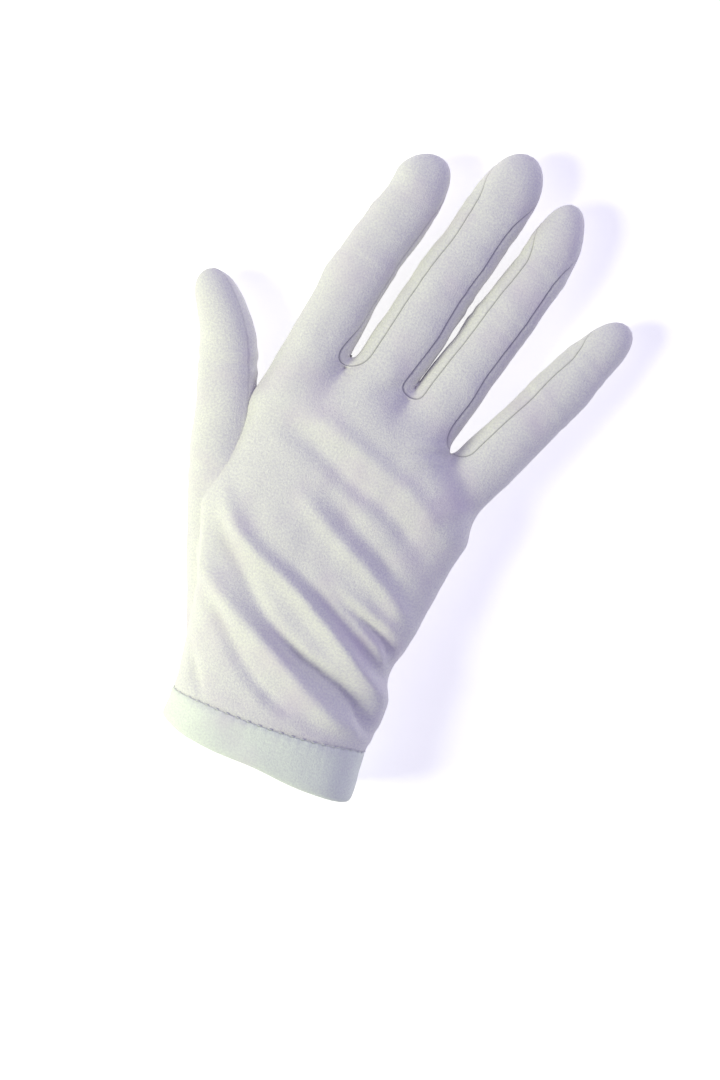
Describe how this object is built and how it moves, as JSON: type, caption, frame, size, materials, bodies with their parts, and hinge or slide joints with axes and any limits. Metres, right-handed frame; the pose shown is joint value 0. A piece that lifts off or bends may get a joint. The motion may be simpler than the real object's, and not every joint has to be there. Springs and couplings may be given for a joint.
{
  "type": "knit dress glove",
  "caption": "Wrist-length white knit dress glove for a right hand, with fourchettes between the fingers, a set-in thumb and a turned-up stitched hem, bending at each finger joint.",
  "frame": {"origin": "under the middle of the glove's plan, on the surface its palm lies on", "axes": "+X towards the little finger, +Y towards the fingertips, +Z out of the back of the hand"},
  "size_m": [0.1318, 0.2058, 0.041],
  "materials": {
    "white_knit": "fine matt knit",
    "fourchette_knit": "fine matt knit",
    "hem_knit": "fine matt knit, double layer",
    "seam_thread": "spun polyester thread"
  },
  "bodies": {
    "palm": {"back_panel": "white_knit", "palm_panel": "white_knit", "thumb_base": "white_knit", "fork_index_middle": "fourchette_knit", "fork_middle_ring": "fourchette_knit", "fork_ring_little": "fourchette_knit", "cuff_hem": "hem_knit", "hem_stitching": "seam_thread", "index_root_fold": "white_knit", "middle_root_fold": "white_knit", "ring_root_fold": "white_knit", "little_root_fold": "white_knit", "thumb_root_fold": "white_knit"},
    "index_base": {"index_base_back": "white_knit", "index_base_palm": "white_knit", "index_base_forks": "fourchette_knit", "index_middle_fold": "white_knit"},
    "index_middle": {"index_middle_back": "white_knit", "index_middle_palm": "white_knit", "index_middle_forks": "fourchette_knit", "index_tip_fold": "white_knit"},
    "index_tip": {"index_tip_back": "white_knit", "index_tip_palm": "white_knit", "index_tip_forks": "fourchette_knit"},
    "middle_base": {"middle_base_back": "white_knit", "middle_base_palm": "white_knit", "middle_base_forks": "fourchette_knit", "middle_middle_fold": "white_knit"},
    "middle_middle": {"middle_middle_back": "white_knit", "middle_middle_palm": "white_knit", "middle_middle_forks": "fourchette_knit", "middle_tip_fold": "white_knit"},
    "middle_tip": {"middle_tip_back": "white_knit", "middle_tip_palm": "white_knit", "middle_tip_forks": "fourchette_knit"},
    "ring_base": {"ring_base_back": "white_knit", "ring_base_palm": "white_knit", "ring_base_forks": "fourchette_knit", "ring_middle_fold": "white_knit"},
    "ring_middle": {"ring_middle_back": "white_knit", "ring_middle_palm": "white_knit", "ring_middle_forks": "fourchette_knit", "ring_tip_fold": "white_knit"},
    "ring_tip": {"ring_tip_back": "white_knit", "ring_tip_palm": "white_knit", "ring_tip_forks": "fourchette_knit"},
    "little_base": {"little_base_back": "white_knit", "little_base_palm": "white_knit", "little_base_forks": "fourchette_knit", "little_middle_fold": "white_knit"},
    "little_middle": {"little_middle_back": "white_knit", "little_middle_palm": "white_knit", "little_middle_forks": "fourchette_knit", "little_tip_fold": "white_knit"},
    "little_tip": {"little_tip_back": "white_knit", "little_tip_palm": "white_knit", "little_tip_forks": "fourchette_knit"},
    "thumb_middle": {"thumb_middle": "white_knit", "thumb_tip_fold": "white_knit"},
    "thumb_tip": {"thumb_tip": "white_knit"}
  },
  "joints": [
    {"name": "index_root_bend", "type": "hinge", "parent": "palm", "child": "index_base", "pos_m": [-0.02386, 0.03004, 0.01455], "axis": [-0.9877, 0.1564, 0], "range_deg": [0, 65], "deforming": ["index_root_fold"]},
    {"name": "index_middle_bend", "type": "hinge", "parent": "index_base", "child": "index_middle", "pos_m": [-0.02004, 0.05416, 0.01258], "axis": [-0.9877, 0.1564, 0], "range_deg": [0, 85], "deforming": ["index_middle_fold"]},
    {"name": "index_tip_bend", "type": "hinge", "parent": "index_middle", "child": "index_tip", "pos_m": [-0.01699, 0.07336, 0.01102], "axis": [-0.9877, 0.1564, 0], "range_deg": [0, 42.5], "deforming": ["index_tip_fold"]},
    {"name": "middle_root_bend", "type": "hinge", "parent": "palm", "child": "middle_base", "pos_m": [-0.00145, 0.02894, 0.01515], "axis": [-0.9755, 0.2199, 0], "range_deg": [0, 65], "deforming": ["middle_root_fold"]},
    {"name": "middle_middle_bend", "type": "hinge", "parent": "middle_base", "child": "middle_middle", "pos_m": [0.00468, 0.05618, 0.0131], "axis": [-0.9755, 0.2199, 0], "range_deg": [0, 85], "deforming": ["middle_middle_fold"]},
    {"name": "middle_tip_bend", "type": "hinge", "parent": "middle_middle", "child": "middle_tip", "pos_m": [0.00995, 0.07953, 0.01134], "axis": [-0.9755, 0.2199, 0], "range_deg": [0, 42.5], "deforming": ["middle_tip_fold"]},
    {"name": "ring_root_bend", "type": "hinge", "parent": "palm", "child": "ring_base", "pos_m": [0.01785, 0.02414, 0.01455], "axis": [-0.9677, 0.2521, 0], "range_deg": [0, 65], "deforming": ["ring_root_fold"]},
    {"name": "ring_middle_bend", "type": "hinge", "parent": "ring_base", "child": "ring_middle", "pos_m": [0.02463, 0.0502, 0.01257], "axis": [-0.9677, 0.2521, 0], "range_deg": [0, 85], "deforming": ["ring_middle_fold"]},
    {"name": "ring_tip_bend", "type": "hinge", "parent": "ring_middle", "child": "ring_tip", "pos_m": [0.03029, 0.07191, 0.01092], "axis": [-0.9677, 0.2521, 0], "range_deg": [0, 42.5], "deforming": ["ring_tip_fold"]},
    {"name": "little_root_bend", "type": "hinge", "parent": "palm", "child": "little_base", "pos_m": [0.03815, 0.01354, 0.01335], "axis": [-0.9135, 0.4067, 0], "range_deg": [0, 65], "deforming": ["little_root_fold"]},
    {"name": "little_middle_bend", "type": "hinge", "parent": "little_base", "child": "little_middle", "pos_m": [0.04699, 0.03339, 0.01153], "axis": [-0.9135, 0.4067, 0], "range_deg": [0, 85], "deforming": ["little_middle_fold"]},
    {"name": "little_tip_bend", "type": "hinge", "parent": "little_middle", "child": "little_tip", "pos_m": [0.05396, 0.04904, 0.01009], "axis": [-0.9135, 0.4067, 0], "range_deg": [0, 42.5], "deforming": ["little_tip_fold"]},
    {"name": "thumb_root_bend", "type": "hinge", "parent": "palm", "child": "thumb_middle", "pos_m": [-0.04218, -0.01632, 0.01153], "axis": [-0.8695, -0.3566, -0.3418], "range_deg": [0, 30], "deforming": ["thumb_root_fold"]},
    {"name": "thumb_tip_bend", "type": "hinge", "parent": "thumb_middle", "child": "thumb_tip", "pos_m": [-0.0517, 0.00786, 0.01053], "axis": [-0.8695, -0.3566, -0.3418], "range_deg": [0, 40], "deforming": ["thumb_tip_fold"]}
  ],
  "couplings": [
    {"joint": "index_tip_bend", "follows": "index_middle_bend", "ratio": 0.5},
    {"joint": "middle_tip_bend", "follows": "middle_middle_bend", "ratio": 0.5},
    {"joint": "ring_tip_bend", "follows": "ring_middle_bend", "ratio": 0.5},
    {"joint": "little_tip_bend", "follows": "little_middle_bend", "ratio": 0.5}
  ]
}
